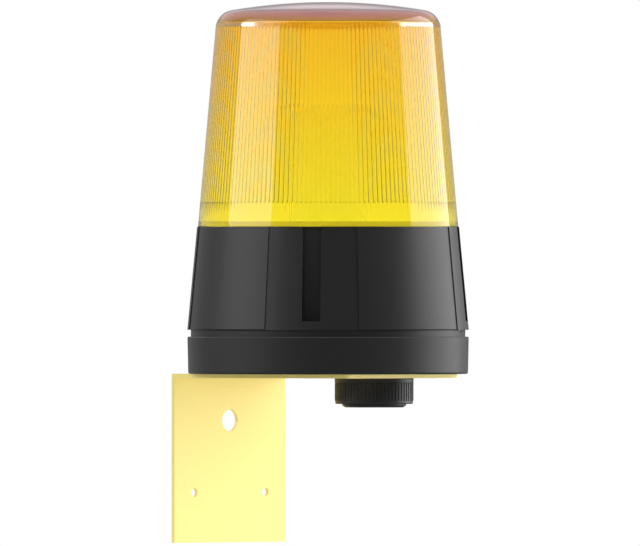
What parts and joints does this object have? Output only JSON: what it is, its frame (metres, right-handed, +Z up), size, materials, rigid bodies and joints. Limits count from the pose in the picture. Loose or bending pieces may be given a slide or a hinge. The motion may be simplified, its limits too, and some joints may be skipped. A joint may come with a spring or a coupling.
{
  "type": "xenon warning beacon with buzzer",
  "caption": "Wall-mounted warning beacon: amber fluted dome lens on a black tapered housing, on a folded steel bracket with a knurled buzzer beneath.",
  "frame": {"origin": "midpoint between the two wall screw holes, on the bracket's wall face", "axes": "+Y towards the wall along the wall screws' axes, +Z up along the beacon's axis, +X to the right of someone who faces the wall"},
  "size_m": [0.14, 0.1413, 0.2694],
  "materials": {
    "bracket_paint": "pale yellow powder coat, satin",
    "black_plastic": "black moulded plastic, fine satin",
    "seal_rubber": "black rubber, matt",
    "steel": "zinc plated steel",
    "amber_lens": "amber translucent plastic, glossy",
    "reflector": "white reflector plate",
    "ceramic": "glazed ceramic",
    "clear_glass": "clear glass",
    "board_green": "green lacquered circuit board",
    "capacitor_sleeve": "dark blue sleeve",
    "ferrite": "dark grey ferrite and moulded plastic",
    "copper_coil": "copper winding",
    "resistor_body": "tan lacquer",
    "terminal_grey": "grey plastic",
    "brass_disc": "brass disc"
  },
  "bodies": {
    "root": {"wall_bracket": "bracket_paint", "base_ring": "black_plastic", "housing_seal": "seal_rubber", "upper_housing": "black_plastic", "base_screws": "steel", "housing_screws": "steel", "lens": "amber_lens", "lens_ring": "amber_lens", "lens_seal": "seal_rubber", "reflector_plate": "reflector", "tube_socket": "ceramic", "flash_tube": "clear_glass", "tube_ends": "steel", "tube_cover": "clear_glass", "circuit_board": "board_green", "board_screws": "steel", "main_capacitor": "capacitor_sleeve", "inverter_transformer": "ferrite", "trigger_coil": "copper_coil", "small_capacitors": "capacitor_sleeve", "resistors": "resistor_body", "switching_transistor": "ferrite", "fuse": "steel", "terminal_block": "terminal_grey", "terminal_screws": "steel", "buzzer_body": "black_plastic", "buzzer_cap": "black_plastic", "buzzer_seal": "seal_rubber", "piezo_disc": "brass_disc", "buzzer_nut": "steel", "cable_grommet": "seal_rubber"}
  },
  "joints": []
}
